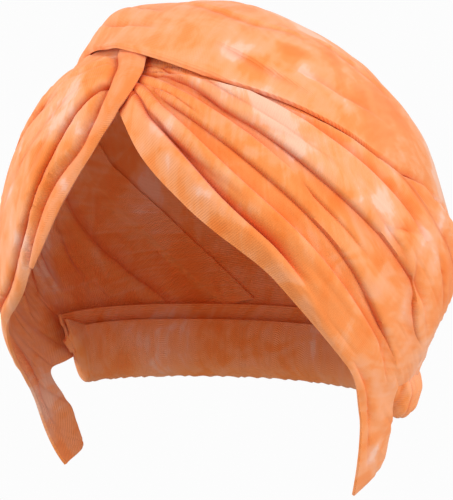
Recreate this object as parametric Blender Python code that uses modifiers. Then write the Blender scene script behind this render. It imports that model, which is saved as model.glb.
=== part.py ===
"""A pre-tied turban hat in thin ribbed jersey, as it sits when worn.

Pleated side panels fan out of a twist above the forehead and run back to the nape, a smooth wrap
lies over the crown, a strap crosses the twist and follows the wearer's right front edge, and the
hem is gathered into a roll at the nape. Each panel is an open sheet laid on one head form and given
a wall. X points to the wearer's left, Y to the back and Z up. The origin is where the inside of the
crown sits on the top of the head.
"""

from collections import namedtuple

import bmesh
import bpy
import numpy as np
from mathutils import Vector

MM = 0.001

# Sizes in millimetres
WALL = 1.2
CROWN_LIFT = 3.1
CLEAR = 0.7
HIDDEN_MARGIN = 11.0
SHEET_RADIUS = 95.0

# The head form that the cloth lies on: its distance from the middle of the head, in millimetres,
# for a level and five directions around it.
FormRow = namedtuple("FormRow", "level front front_side side rear_side back")
HEAD_FORM = (
    FormRow(-60, 128, 130, 126, 127, 126),
    FormRow(-35, 103, 103, 95.5, 101, 104),
    FormRow(-10, 90, 88.5, 88, 98, 100),
    FormRow(15, 90, 87, 85.5, 90.5, 96.5),
    FormRow(40, 95, 89, 85, 86, 92),
    FormRow(65, 95, 91.5, 87.5, 85, 87.5),
    FormRow(90, 90.5, 90.5, 90.5, 90.5, 90.5),
)
FORM_DIRECTIONS = (0, 45, 90, 135, 180)

# Where the pleats radiate from: each side's pleats come from a point across the middle, as cloth
# does where it is twisted.
TWIST_LEVEL = 46
TWIST_ACROSS = 14

# The seam under the strap where both side panels begin, across from the middle in millimetres.
SEAM_ACROSS = -3.0
SEAM_HALF_GAP = 0.4

# The edge of the crown wrap: the tilt of a plane through the ears, from the front over the top to
# the nape, and how far down the wearer's left and right side the edge lies in it, in degrees.
EdgeRow = namedtuple("EdgeRow", "tilt left right")
CROWN_EDGE = (
    EdgeRow(50.5, 14, 13),
    EdgeRow(51.5, 21, 16.5),
    EdgeRow(55, 33, 20.5),
    EdgeRow(60, 46, 26),
    EdgeRow(70, 60, 40),
    EdgeRow(88, 68.5, 60),
    EdgeRow(112, 72, 70),
    EdgeRow(136, 72, 72),
    EdgeRow(160, 67, 67),
    EdgeRow(180, 58, 58),
    EdgeRow(197, 43, 43),
    EdgeRow(206, 31, 31),
    EdgeRow(214.5, 18, 18),
)

# The lines that the pleats follow, from the front edge upwards. Around the twist each line lies at
# an angle that is given at six distances from it and at its end, in degrees. near, middle and far
# are the height of the cloth over the head form at three distances, and depth is the depth of the
# crease, which is steep on one side and soft on the other, in millimetres.
LINE_STATIONS = (10, 20, 40, 70, 100, 116)
BODY_STATIONS = (30, 70, 110)
Fold = namedtuple(
    "Fold",
    "name root temple brow side ear tail end end_at near middle far depth begins fades below above",
)
LEFT_FOLDS = (
    Fold("front edge", 47, 47, 53, 62, 63, 58, 45, 129, 1.5, 1.5, 0.8, 0, 0, 0, 1, 1),
    Fold("hem valley", 72, 65, 63, 66.5, 67, 63, 55, 136, 3.4, 3.4, 1.4, 3.2, 10, 76, 1.6, 7),
    Fold("low fold", 79, 75, 73, 73, 72, 69.5, 64.5, 131.5, 4, 4, 1.6, 2.6, 9, 122, 2, 7),
    Fold("middle fold", 83, 80, 77.5, 80.5, 79, 75.5, 73, 124.5, 4.2, 4.2, 2.4, 2.4, 30, 112, 6, 2),
    Fold("upper fold", 87, 86.5, 84, 85, 84, 82, 79.5, 130, 4.2, 4.2, 4, 2.2, 9, 56, 2, 6),
    Fold("main crease", 91.5, 91.5, 92, 92, 90, 88, 87, 138, 4.2, 4.2, 5, 3.8, 9, 116, 6, 1.6),
    Fold("soft fold", 95, 95, 97, 99, 96, 94.5, 94, 145, 3.8, 3.8, 6, 1.8, 9, 126, 4, 4),
    Fold("wedge pleat", 101, 102, 106, 104.5, 103, 103, 105, 154, 3.2, 3.2, 6, 2.4, 22, 104, 5, 2),
    Fold("back fold", 106, 105, 108, 109, 112, 114, 120, 160.5, 1.6, 2.4, 4.5, 1.4, 60, 158, 5, 5),
)
RIGHT_FOLDS = (
    Fold("front edge", 49, 48.5, 49, 52, 60, 57, 45, 129, 0.4, 0.4, 5, 0, 0, 0, 1, 1),
    Fold("strap seat", 68, 65, 56, 57, 65.5, 62, 55, 136, 0.5, 0.5, 8.5, 0, 0, 0, 1, 1),
    Fold("main groove", 80, 69, 62.5, 60.5, 68.5, 69, 63.5, 132, 4.6, 3.6, 10.5, 4.6, 8, 96, 5, 3),
    Fold("outer fold", 88, 84, 78, 77, 76.5, 75, 72, 124.5, 9, 6.6, 10, 1.2, 14, 96, 7, 5),
    Fold("side fold", 91, 90, 88, 86, 84, 82, 79.5, 130, 9, 6, 8, 2.2, 34, 118, 3, 7),
    Fold("far crease", 94, 94, 95, 95, 91, 88, 87, 138, 8, 5.4, 7, 3.4, 26, 120, 6, 2),
    Fold("soft fold", 97, 98, 102, 103, 98, 95, 94, 145, 6.6, 4.8, 6, 1.8, 9, 126, 4, 4),
    Fold("wedge pleat", 101, 101.5, 109, 111, 105, 103, 105, 154, 5, 4, 6, 2.4, 22, 104, 5, 2),
    Fold("back fold", 105, 105, 115, 117, 114, 115, 120, 160.5, 1.6, 2.4, 4.5, 1.4, 60, 158, 5, 5),
)

# How high the pleats stand where they leave the twist and at the hem, as a share of their height.
SwellRow = namedtuple("SwellRow", "distance share")
SWELL = (
    SwellRow(8, 0.3),
    SwellRow(15, 0.75),
    SwellRow(24, 1.0),
    SwellRow(122, 1.0),
    SwellRow(134, 0.6),
)

# Long soft folds of the crown wrap: the tilts where each begins and ends, how far to the side it
# lies there (the wearer's left is positive), its depth and its width in millimetres.
CrownFold = namedtuple("CrownFold", "begins ends side_begin side_end depth width")
CROWN_FOLDS = (
    CrownFold(58, 165, -18, 34, 1.8, 7),
    CrownFold(60, 175, 12, 50, 1.4, 6),
    CrownFold(66, 180, -42, 2, 1.4, 8),
    CrownFold(74, 205, -58, -30, 1.6, 8),
    CrownFold(120, 214, 14, 6, 1.2, 7),
)

# Soft bumps of the crown wrap: over the strap, along the brow, and the roll at its far front end.
CrownBump = namedtuple("CrownBump", "tilt side height tilt_spread side_spread")
CROWN_BUMPS = (
    CrownBump(50, -4, 3.0, 11, 17),
    CrownBump(69, 0, 3.4, 14, 90),
    CrownBump(73, -20, 3.4, 9, 8),
)

# The strap, from under the crown wrap down along the wearer's right front edge: the direction of
# its middle seen from the middle of the head, its width and its inner height over the form.
StrapRow = namedtuple("StrapRow", "around level width lift")
STRAP = (
    StrapRow(-6, 57, 18, 3.1),
    StrapRow(-5, 51.5, 16.5, 3.2),
    StrapRow(-3.2, 48, 13, 3.3),
    StrapRow(-2.4, 44, 11.4, 3.4),
    StrapRow(-3, 40, 10.6, 3.3),
    StrapRow(-4, 36, 10.2, 2.8),
    StrapRow(-6, 33, 8.6, 2.4),
    StrapRow(-8.6, 29, 7.2, 2.2),
    StrapRow(-12, 24, 8.4, 2.1),
    StrapRow(-16, 19.5, 9.4, 2.1),
    StrapRow(-19.5, 14.5, 9.8, 2.1),
    StrapRow(-23.5, 8.5, 9.2, 2.1),
    StrapRow(-27.5, 2, 7.6, 2.1),
    StrapRow(-33, -6, 4.6, 2.1),
)
STRAP_ARCH = 0.8

# The gathered roll at the nape: its section, as a level and the height of its outside over the
# form, from the lip inside the side panels round to the band that lies against the neck. Towards
# its two ends it narrows to the lip.
GatherRow = namedtuple("GatherRow", "level height")
GATHER_SECTION = (
    GatherRow(-28.6, 0.7),
    GatherRow(-33.0, 0.7),
    GatherRow(-34.4, 0.9),
    GatherRow(-35.4, 2.4),
    GatherRow(-36.6, 5.8),
    GatherRow(-38.8, 8.0),
    GatherRow(-41.4, 7.8),
    GatherRow(-43.8, 5.2),
    GatherRow(-45.0, 1.2),
    GatherRow(-44.2, -2.6),
    GatherRow(-41.4, -4.4),
    GatherRow(-37.4, -4.6),
    GatherRow(-33.4, -4.2),
)
GATHER_FROM = 92
GATHER_TAPER = (94, 102)
GATHER_NARROW = (92, 101)
GATHER_END = 0.4
GATHER_RUFFLES = 30
GATHER_RUFFLE = 0.5

HEAD_MIDDLE = Vector((0, 0, -(HEAD_FORM[-1].front + CROWN_LIFT) * MM))

JERSEY = (0.93, 0.42, 0.20, 1.0)


def smooth(x, xs, ys):
    """The value at x of a smooth curve through the rows (xs, ys), which doesn't overshoot them."""
    xs = np.asarray(xs, float)
    ys = np.asarray(ys, float)
    columns = ys.reshape(len(xs), -1)
    rise = np.diff(columns, axis=0) / np.diff(xs)[:, None]
    product = rise[:-1] * rise[1:]
    total = rise[:-1] + rise[1:]
    slope = np.empty_like(columns)
    slope[0], slope[-1] = rise[0], rise[-1]
    slope[1:-1] = np.where(product > 0, 2 * product / np.where(product > 0, total, 1), 0)
    x = np.clip(np.asarray(x, float), xs[0], xs[-1])
    i = np.clip(np.searchsorted(xs, x, side="right") - 1, 0, len(xs) - 2)
    step = (xs[i + 1] - xs[i])[..., None]
    t = (x - xs[i])[..., None] / step
    from_start = (1 + 2 * t) * columns[i] + t * step * slope[i]
    from_end = (3 - 2 * t) * columns[i + 1] - (1 - t) * step * slope[i + 1]
    value = (1 - t) ** 2 * from_start + t**2 * from_end
    return value.reshape(x.shape + ys.shape[1:])


def form_waves():
    """HEAD_FORM as levels and, for each, the cosine waves around the head that pass its columns."""
    order = np.arange(len(FORM_DIRECTIONS))
    waves = np.cos(np.radians(np.outer(FORM_DIRECTIONS, order)))
    rows = np.array([row[1:] for row in HEAD_FORM], float)
    share = np.linalg.solve(waves, rows.T).T
    levels = np.array([row.level for row in HEAD_FORM], float)
    # Past the top the form goes down the other side, which turns the odd waves round.
    over = share[-2:-4:-1] * np.where(order % 2, -1.0, 1.0)
    return np.append(levels, 180 - levels[-2:-4:-1]), np.vstack([share, over])


FORM_LEVELS, FORM_WAVES = form_waves()


def form_radius(direction):
    """The distance of the head form from the middle of the head along unit directions."""
    level = np.degrees(np.arcsin(np.clip(direction[..., 2], -1, 1)))
    around = np.arctan2(direction[..., 0], -direction[..., 1])
    waves = smooth(level, FORM_LEVELS, FORM_WAVES)
    return (waves * np.cos(around[..., None] * np.arange(waves.shape[-1]))).sum(axis=-1)


def toward(around, level):
    """The unit direction at an angle around from the front and a level above the horizontal."""
    a, e = np.radians(around), np.radians(level)
    return np.stack([np.cos(e) * np.sin(a), -np.cos(e) * np.cos(a), np.sin(e)], axis=-1)


def twist_frame(side):
    """The twist's direction for a panel, the way down from it, and the way to the panel's side."""
    pole = toward(-TWIST_ACROSS * side, TWIST_LEVEL)
    down = np.array([0.0, 0.0, -1.0])
    down -= down.dot(pole) * pole
    down /= np.linalg.norm(down)
    out = np.cross(down, pole)
    return pole, down, out * np.sign(out[0]) * side


def from_twist(side, distance, angle):
    """Directions at a distance from the twist and an angle around it, both in degrees."""
    pole, down, out = twist_frame(side)
    d, a = np.radians(distance)[..., None], np.radians(angle)[..., None]
    return np.cos(d) * pole + np.sin(d) * (np.cos(a) * down + np.sin(a) * out)


def seen_from_twist(side, direction):
    """Distance and angle around the twist of unit directions, in degrees."""
    pole, down, out = twist_frame(side)
    distance = np.degrees(np.arccos(np.clip(direction @ pole, -1, 1)))
    angle = np.degrees(np.arctan2(direction @ out, direction @ down))
    return distance, np.where(angle < 0, angle + 360, angle)


def in_ear_plane(tilt, side):
    """The unit direction at an angle to the side, in a plane through the ears tilted up from the front."""
    t, s = np.radians(tilt), np.radians(side)
    return np.stack([np.sin(s), -np.cos(s) * np.cos(t), np.cos(s) * np.sin(t)], axis=-1)


def placed(direction, height):
    """Points at a height over the head form, in metres from the origin at the top of the head."""
    seat = HEAD_FORM[-1].front + CROWN_LIFT
    points = direction * (form_radius(direction) + height)[..., None]
    return (points - np.array([0.0, 0.0, seat])) * MM


def crown_side(tilt, sign):
    """How far the crown wrap's edge lies to the side that sign gives, in degrees."""
    tilts = [row.tilt for row in CROWN_EDGE]
    left = smooth(tilt, tilts, [row.left for row in CROWN_EDGE])
    right = smooth(tilt, tilts, [row.right for row in CROWN_EDGE])
    return np.where(np.asarray(sign) < 0, right, left)


def arc(distance):
    """Millimetres of sheet per radian around the twist, at a distance from it."""
    return SHEET_RADIUS * np.sin(np.radians(distance))


def crown_edge_from_twist(side, distance):
    """The crown wrap's edge as an angle around a panel's twist."""
    tilt = np.linspace(CROWN_EDGE[0].tilt, CROWN_EDGE[-1].tilt, 200)
    edge = in_ear_plane(tilt, crown_side(tilt, side) * side)
    at, angle = seen_from_twist(side, edge)
    order = np.argsort(at)
    return np.interp(distance, at[order], angle[order])


def fan_angles(folds, side, across, distance):
    """The angle around the twist of a fan's lines, each at its own distances.

    across counts the folds. Past the last one the sheet goes to the crown wrap's edge, and then a
    hidden margin under it.
    """
    rows = np.arange(len(folds))
    inside = np.clip(across, 0, rows[-1])
    lines = smooth(inside, rows, [fold[1:8] for fold in folds])
    ends = smooth(inside, rows, [fold.end_at for fold in folds])
    angle = np.empty_like(distance)
    for i, line in enumerate(lines):
        angle[i] = smooth(distance[i], LINE_STATIONS + (ends[i],), line)
    past = (across - rows[-1])[:, None]
    edge = crown_edge_from_twist(side, distance)
    margin = np.degrees(HIDDEN_MARGIN / arc(distance))
    return angle + np.clip(past, 0, 1) * (edge - angle) + np.clip(past - 1, 0, 1) * margin


def fan_roots(folds, side, across):
    """The distance from the twist at which each line of a fan crosses the seam under the strap."""
    distance = np.tile(np.linspace(6, 40, 137), (len(across), 1))
    angle = fan_angles(folds, side, across, distance)
    points = placed(from_twist(side, distance, angle), np.full_like(distance, WALL)) / MM
    clear = side * (points[..., 0] - SEAM_ACROSS) - SEAM_HALF_GAP
    after = np.argmax(clear > 0, axis=1)
    row = np.arange(len(across))
    low, high = clear[row, after - 1], clear[row, after]
    step = distance[0, 1] - distance[0, 0]
    return distance[row, after] - step * high / (high - low)


def strap_line(along):
    """The strap's middle as directions, with its half width and inner height, in millimetres."""
    rows = np.arange(len(STRAP))
    at = np.asarray(along) * rows[-1]
    around, level, width, lift = smooth(at, rows, [tuple(row) for row in STRAP]).T
    return toward(around, level), width / 2, lift


def under_strap(direction):
    """How high a sheet may stand where the strap lies over it, rising clear of it to the side."""
    middle, half, lift = strap_line(np.linspace(0, 1, 80))
    cosine = direction @ middle.T
    near = np.argmax(cosine, axis=-1)
    nearest = np.take_along_axis(cosine, near[..., None], axis=-1)[..., 0]
    offset = np.arccos(np.clip(nearest, -1, 1)) * SHEET_RADIUS
    return lift[near] - CLEAR + 1.3 * np.clip(offset - half[near] - 3.8, 0, None)


def crease(offset, below, above):
    """A crease's cut as a share of its depth, at an offset from it in millimetres."""
    width = np.where(offset < 0, below, above)
    return np.exp(-np.abs(offset) / width)


def fan_height(folds, side, across, distance, angle):
    """The outer height of a fan over the head form."""
    rows = np.arange(len(folds))
    inside = np.clip(across, 0, rows[-1])
    bodies = smooth(inside, rows, [(fold.near, fold.middle, fold.far) for fold in folds])
    body = np.array([smooth(d, BODY_STATIONS, b) for d, b in zip(distance, bodies)])
    swell = smooth(distance, [row.distance for row in SWELL], [row.share for row in SWELL])
    height = body * swell
    for fold in folds:
        line = smooth(distance, LINE_STATIONS + (fold.end_at,), fold[1:8])
        reach = np.radians(angle - line) * arc(distance)
        begin = np.clip((distance - fold.begins) / 5.0 + 0.5, 0, 1)
        fade = np.clip((fold.fades - distance) / 14.0, 0, 1)
        height -= fold.depth * swell * begin * fade * crease(reach, fold.below, fold.above)
    height = WALL + np.clip(height, 0, None)
    # The sheet lies low under the crown wrap and under the strap.
    outside = np.radians(crown_edge_from_twist(side, distance) - angle) * arc(distance)
    under_crown = CROWN_LIFT - CLEAR + 0.9 * np.clip(outside - 2.4, 0, None)
    height = np.minimum(height, under_crown)
    return np.minimum(height, under_strap(from_twist(side, distance, angle)))


def fan_points(folds, side, across, along):
    """Outer points of a side panel, with its top tucked under the crown wrap's edge."""
    rows = np.arange(len(folds))
    ends = smooth(np.clip(across, 0, rows[-1]), rows, [fold.end_at for fold in folds])
    roots = fan_roots(folds, side, across)
    distance = roots[:, None] + (ends - roots)[:, None] * along[None, :]
    angle = fan_angles(folds, side, across, distance)
    height = fan_height(folds, side, across, distance, angle)
    return placed(from_twist(side, distance, angle), height)


def crown_height(tilt, side):
    """The outer height of the crown wrap over the head form."""
    edge = np.maximum(crown_side(tilt, side), 1)
    reach = np.clip(1 - (np.abs(side) / edge) ** 4, 0, 1)
    height = np.full_like(tilt, CROWN_LIFT + WALL)
    for bump in CROWN_BUMPS:
        away = ((tilt - bump.tilt) / bump.tilt_spread) ** 2 + ((side - bump.side) / bump.side_spread) ** 2
        height += bump.height * np.exp(-away) * np.where(bump.tilt < 60, 1, reach)
    for fold in CROWN_FOLDS:
        t = (tilt - fold.begins) / (fold.ends - fold.begins)
        line = fold.side_begin + (fold.side_end - fold.side_begin) * np.clip(t, 0, 1)
        offset = np.radians(side - line) * SHEET_RADIUS
        along = np.clip(4 * t, 0, 1) * np.clip(4 * (1 - t), 0, 1)
        height += fold.depth * along * (0.6 - np.exp(-((offset / fold.width) ** 2))) * reach
    return np.maximum(height, CROWN_LIFT + WALL)


def crown_tilts(along):
    """The tilts of the crown wrap's rows, which are evenly spaced along its two edges."""
    tilt = np.linspace(CROWN_EDGE[0].tilt, CROWN_EDGE[-1].tilt, 400)
    left = np.diff(in_ear_plane(tilt, crown_side(tilt, 1)), axis=0)
    right = np.diff(in_ear_plane(tilt, -crown_side(tilt, -1)), axis=0)
    length = np.append(0, (np.linalg.norm(left, axis=-1) + np.linalg.norm(right, axis=-1)).cumsum())
    return np.interp(along * length[-1], length, tilt)


def crown_points(across, along):
    """Outer points of the crown wrap: across runs from -1 to 1, along from the front to the nape."""
    across, tilt = np.broadcast_arrays(across[:, None], crown_tilts(along))
    side = crown_side(tilt, across) * across
    return placed(in_ear_plane(tilt, side), crown_height(tilt, side))


def strap_points(across, along):
    """Outer points of the strap: across runs from -1 to 1 over its width, along from its top."""
    middle, half, lift = strap_line(along)
    sideways = np.cross(np.gradient(middle, axis=0), middle)
    sideways /= np.linalg.norm(sideways, axis=-1, keepdims=True)
    direction = middle + across[:, None, None] * (half / SHEET_RADIUS)[:, None] * sideways
    direction /= np.linalg.norm(direction, axis=-1, keepdims=True)
    return placed(direction, WALL + lift + STRAP_ARCH * (1 - across[:, None] ** 2))


def gather_points(across, along):
    """Outer points of the roll at the nape: across follows its section, along goes round the back."""
    rows = np.arange(len(GATHER_SECTION))
    level, height = smooth(across * rows[-1], rows, [tuple(row) for row in GATHER_SECTION]).T
    around = GATHER_FROM + (360 - 2 * GATHER_FROM) * along
    from_front = np.minimum(around, 360 - around)
    swell = smooth(from_front, GATHER_TAPER, (-0.15, 1.0))
    narrow = smooth(from_front, GATHER_NARROW, (GATHER_END, 1.0))
    ruffle = 1 + 0.1 * GATHER_RUFFLE * np.cos(2 * np.pi * GATHER_RUFFLES * along)
    bulge = np.clip(height, 0, None)[:, None] * swell * ruffle + np.clip(height, None, 0)[:, None]
    level = level[0] + (level - level[0])[:, None] * narrow
    around = np.broadcast_to(around, level.shape)
    return placed(toward(around, level), bulge)


def jersey(name):
    """A matte knit material for one node."""
    material = bpy.data.materials.new(name)
    material.use_nodes = True
    shader = material.node_tree.nodes["Principled BSDF"]
    shader.inputs["Base Color"].default_value = JERSEY
    shader.inputs["Roughness"].default_value = 0.9
    shader.inputs["Metallic"].default_value = 0.0
    return material


def sheet(name, collection, points):
    """A grid laid out as a sheet of cloth, with a wall that goes inwards from it."""
    columns, rows = points.shape[:2]
    bpy.ops.mesh.primitive_grid_add(x_subdivisions=columns - 1, y_subdivisions=rows - 1, size=2)
    obj = bpy.context.object
    obj.name = name
    obj.data.name = name
    grid = np.empty(len(obj.data.vertices) * 3)
    obj.data.vertices.foreach_get("co", grid)
    column = np.rint((grid[0::3] + 1) / 2 * (columns - 1)).astype(int)
    row = np.rint((grid[1::3] + 1) / 2 * (rows - 1)).astype(int)
    obj.data.vertices.foreach_set("co", points[column, row].ravel())
    mesh = bmesh.new()
    mesh.from_mesh(obj.data)
    mesh.faces.ensure_lookup_table()
    # The first face of a sheet lies on the form, and so faces away from the middle of the head.
    first = mesh.faces[0]
    if first.normal.dot(first.calc_center_median() - HEAD_MIDDLE) < 0:
        bmesh.ops.reverse_faces(mesh, faces=mesh.faces)
    mesh.to_mesh(obj.data)
    mesh.free()
    obj.data.shade_smooth()
    wall = obj.modifiers.new("wall", "SOLIDIFY")
    wall.thickness = WALL * MM
    wall.offset = -1
    obj.data.materials.append(jersey(name))
    for user in list(obj.users_collection):
        user.objects.unlink(obj)
    collection.objects.link(obj)
    return obj


def fan_across(steps):
    """Where the lines of a fan's grid lie: a line on each crease and steps columns in each pleat."""
    lines = [row + k / count for row, count in enumerate(steps) for k in range(count)]
    return np.array(lines + [len(steps)])


def build():
    for obj in list(bpy.data.objects):
        bpy.data.objects.remove(obj)
    hat = bpy.data.collections.new("turban_hat")
    bpy.context.scene.collection.children.link(hat)
    left_lines = fan_across((3, 3, 3, 3, 3, 3, 3, 2, 2, 2))
    right_lines = fan_across((2, 3, 4, 3, 3, 3, 3, 2, 2, 2))
    whole = np.linspace(0, 1, 27)
    from_root = whole**1.4
    sheet("left_fan", hat, fan_points(LEFT_FOLDS, 1, left_lines, from_root))
    sheet("right_fan", hat, fan_points(RIGHT_FOLDS, -1, right_lines, from_root))
    sheet("crown_wrap", hat, crown_points(np.linspace(-1, 1, 23), np.linspace(0, 1, 32)))
    sheet("knot_strap", hat, strap_points(np.linspace(-1, 1, 5), whole))
    sheet("nape_gather", hat, gather_points(np.linspace(0, 1, 13), np.linspace(0, 1, 41)))


build()
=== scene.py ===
# %% [markdown]
# # A pre-tied turban hat in ribbed jersey
# A pre-tied turban looks like one long cloth wound round the head, but it is sewn once and pulled on
# like a cap. Two side panels are gathered into a twist above the forehead, and their pleats fan out
# to the nape. A smooth wrap lies over the crown, a folded strap crosses the twist, and the hem is
# gathered into a soft roll at the back. Each panel is made here as its own sheet of cloth.
#
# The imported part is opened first. It gives the frame that every sheet has to stay in.

from collections import namedtuple

import bmesh
import bpy
import numpy as np
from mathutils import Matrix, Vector


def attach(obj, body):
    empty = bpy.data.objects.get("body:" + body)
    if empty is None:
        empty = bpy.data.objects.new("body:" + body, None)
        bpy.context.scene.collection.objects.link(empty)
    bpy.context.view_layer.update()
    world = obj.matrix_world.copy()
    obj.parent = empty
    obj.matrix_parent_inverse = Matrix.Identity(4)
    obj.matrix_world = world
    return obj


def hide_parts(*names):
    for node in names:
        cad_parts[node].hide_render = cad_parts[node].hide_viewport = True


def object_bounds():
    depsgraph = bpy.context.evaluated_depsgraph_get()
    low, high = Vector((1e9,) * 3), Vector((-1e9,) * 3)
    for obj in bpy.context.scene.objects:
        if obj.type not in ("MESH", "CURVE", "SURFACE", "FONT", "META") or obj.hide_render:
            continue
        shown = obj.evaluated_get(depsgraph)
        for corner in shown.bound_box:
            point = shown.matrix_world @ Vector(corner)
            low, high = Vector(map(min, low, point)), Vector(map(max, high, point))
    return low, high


MM = 0.001
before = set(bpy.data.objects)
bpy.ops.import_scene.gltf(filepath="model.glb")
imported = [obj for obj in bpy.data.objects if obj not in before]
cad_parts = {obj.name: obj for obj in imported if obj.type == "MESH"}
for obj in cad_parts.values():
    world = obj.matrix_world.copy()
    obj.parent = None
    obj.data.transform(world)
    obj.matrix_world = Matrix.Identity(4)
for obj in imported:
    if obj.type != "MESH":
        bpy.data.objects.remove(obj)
cad_low, cad_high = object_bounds()
bpy.ops.object.select_all(action="DESELECT")
print("hat in mm:", [round(side / MM, 1) for side in cad_high - cad_low])

# %% [markdown]
# ## The camera
# The photograph was taken from a little to the wearer's left and slightly above, with a long lens.
# A long lens far away keeps the near and far side at almost the same scale. The camera points at
# the middle of the hat, and a small shift sets the hat where it is in the picture.

# %% Set up the camera
AZIMUTH, ELEVATION, DISTANCE = 28.0, 10.0, 1.5
AIM = Vector((0.0, 0.0, -0.102))
PIXEL = 0.42 * MM
PICTURE_HEIGHT = 500
PICTURE_SHIFT = 5.8
SENSOR = 36.0


def set_up_camera():
    azimuth, elevation = np.radians(AZIMUTH), np.radians(ELEVATION)
    flat = np.cos(elevation)
    back = Vector((np.sin(azimuth) * flat, -np.cos(azimuth) * flat, np.sin(elevation)))
    bpy.ops.object.camera_add(location=AIM + back * DISTANCE)
    camera = bpy.context.object
    camera.rotation_euler = (-back).to_track_quat("-Z", "Y").to_euler()
    camera.data.sensor_width = SENSOR
    camera.data.lens = SENSOR * DISTANCE / (PIXEL * PICTURE_HEIGHT)
    camera.data.shift_x = PICTURE_SHIFT / PICTURE_HEIGHT
    bpy.context.scene.camera = camera
    return camera


camera = set_up_camera()
print("lens in mm:", round(camera.data.lens, 1))

# %% [markdown]
# ## The floor and the light
# The hat was photographed on plain white in bright, even light from above and in front. A soft lamp
# over the camera gives the folds their shape, and one on each side and a weak sky keep the shade
# open. The sky and the floor look white to the camera but give off less light than they seem to,
# because a room that is white all round leaves folds with no shade at all. The sky's light is a
# little warm, since the shade between folds of orange cloth is lit by the cloth around it.

# %% Set up the floor and the light
FLOOR_DROP, FLOOR_RADIUS = 0.06, 9.0
FLOOR_GREY = (0.45, 0.45, 0.45, 1.0)
WHITE = (0.975, 0.975, 0.975, 1.0)
SKY_LIGHT = 0.64
WARM = (1.0, 0.86, 0.76, 1.0)
Lamp = namedtuple("Lamp", "name place size power")
LAMPS = (
    Lamp("key_lamp", (-0.25, -0.95, 1.5), 0.8, 9.6),
    Lamp("side_lamp", (1.6, -0.1, 0.4), 1.0, 15.0),
    Lamp("left_lamp", (-1.4, -0.9, 0.0), 1.0, 15.5),
)


def add_lamp(row):
    bpy.ops.object.light_add(type="AREA", location=row.place)
    lamp = bpy.context.object
    lamp.name = row.name
    lamp.data.size = row.size
    lamp.data.energy = row.power
    lamp.rotation_euler = (AIM - Vector(row.place)).to_track_quat("-Z", "Y").to_euler()


def set_up_floor():
    place = (0, 0, cad_low.z - FLOOR_DROP)
    bpy.ops.mesh.primitive_circle_add(vertices=96, radius=FLOOR_RADIUS, fill_type="NGON", location=place)
    floor = bpy.context.object
    floor.name = "floor"
    material = bpy.data.materials.new("pale_floor")
    material.use_nodes = True
    tree = material.node_tree
    shader = tree.nodes["Principled BSDF"]
    shader.inputs["Base Color"].default_value = FLOOR_GREY
    shader.inputs["Roughness"].default_value = 0.9
    glow = tree.nodes.new("ShaderNodeEmission")
    glow.inputs["Color"].default_value = WHITE
    seen = tree.nodes.new("ShaderNodeLightPath")
    mix = tree.nodes.new("ShaderNodeMixShader")
    tree.links.new(seen.outputs["Is Camera Ray"], mix.inputs[0])
    tree.links.new(shader.outputs[0], mix.inputs[1])
    tree.links.new(glow.outputs[0], mix.inputs[2])
    tree.links.new(mix.outputs[0], tree.nodes["Material Output"].inputs["Surface"])
    floor.data.materials.append(material)


def set_up_sky():
    world = bpy.data.worlds.new("white_room")
    world.use_nodes = True
    tree = world.node_tree
    sky = tree.nodes["Background"]
    tint = tree.nodes.new("ShaderNodeMix")
    tint.data_type = "RGBA"
    tint.inputs["A"].default_value = WARM
    tint.inputs["B"].default_value = WHITE
    tree.links.new(tint.outputs["Result"], sky.inputs["Color"])
    seen = tree.nodes.new("ShaderNodeLightPath")
    level = tree.nodes.new("ShaderNodeMix")
    level.inputs["A"].default_value = SKY_LIGHT
    level.inputs["B"].default_value = 1.0
    tree.links.new(seen.outputs["Is Camera Ray"], level.inputs["Factor"])
    tree.links.new(seen.outputs["Is Camera Ray"], tint.inputs["Factor"])
    tree.links.new(level.outputs["Result"], sky.inputs["Strength"])
    bpy.context.scene.world = world
    bpy.context.scene.view_settings.view_transform = "Standard"


set_up_floor()
set_up_sky()
for row in LAMPS:
    add_lamp(row)
print("lamps:", len(LAMPS))

# %% [markdown]
# ## A smooth curve through a few rows
# Most shapes here come from short tables: a row for a level, a fold or a station, and a column for
# each size. A curve through the rows fills in between. An ordinary spline swings past its points
# where they are uneven, which would dent the cloth, so this one never passes its rows.

# %% Draw a smooth curve through table rows
def smooth(x, xs, ys):
    """The value at x of a smooth curve through the rows (xs, ys), which doesn't overshoot them."""
    xs = np.asarray(xs, float)
    ys = np.asarray(ys, float)
    columns = ys.reshape(len(xs), -1)
    rise = np.diff(columns, axis=0) / np.diff(xs)[:, None]
    product = rise[:-1] * rise[1:]
    total = rise[:-1] + rise[1:]
    slope = np.empty_like(columns)
    slope[0], slope[-1] = rise[0], rise[-1]
    slope[1:-1] = np.where(product > 0, 2 * product / np.where(product > 0, total, 1), 0)
    x = np.clip(np.asarray(x, float), xs[0], xs[-1])
    i = np.clip(np.searchsorted(xs, x, side="right") - 1, 0, len(xs) - 2)
    step = (xs[i + 1] - xs[i])[..., None]
    t = (x - xs[i])[..., None] / step
    from_start = (1 + 2 * t) * columns[i] + t * step * slope[i]
    from_end = (3 - 2 * t) * columns[i + 1] - (1 - t) * step * slope[i + 1]
    value = (1 - t) ** 2 * from_start + t**2 * from_end
    return value.reshape(x.shape + ys.shape[1:])


# %% [markdown]
# ## The head form
# A turban has no shape of its own: the jersey takes the shape of the head and stands off it a few
# millimetres. So everything hangs on one head form, a distance from the middle of the head for each
# direction. The same table is in the source of the part, which keeps the sheets where its solids are.

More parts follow.
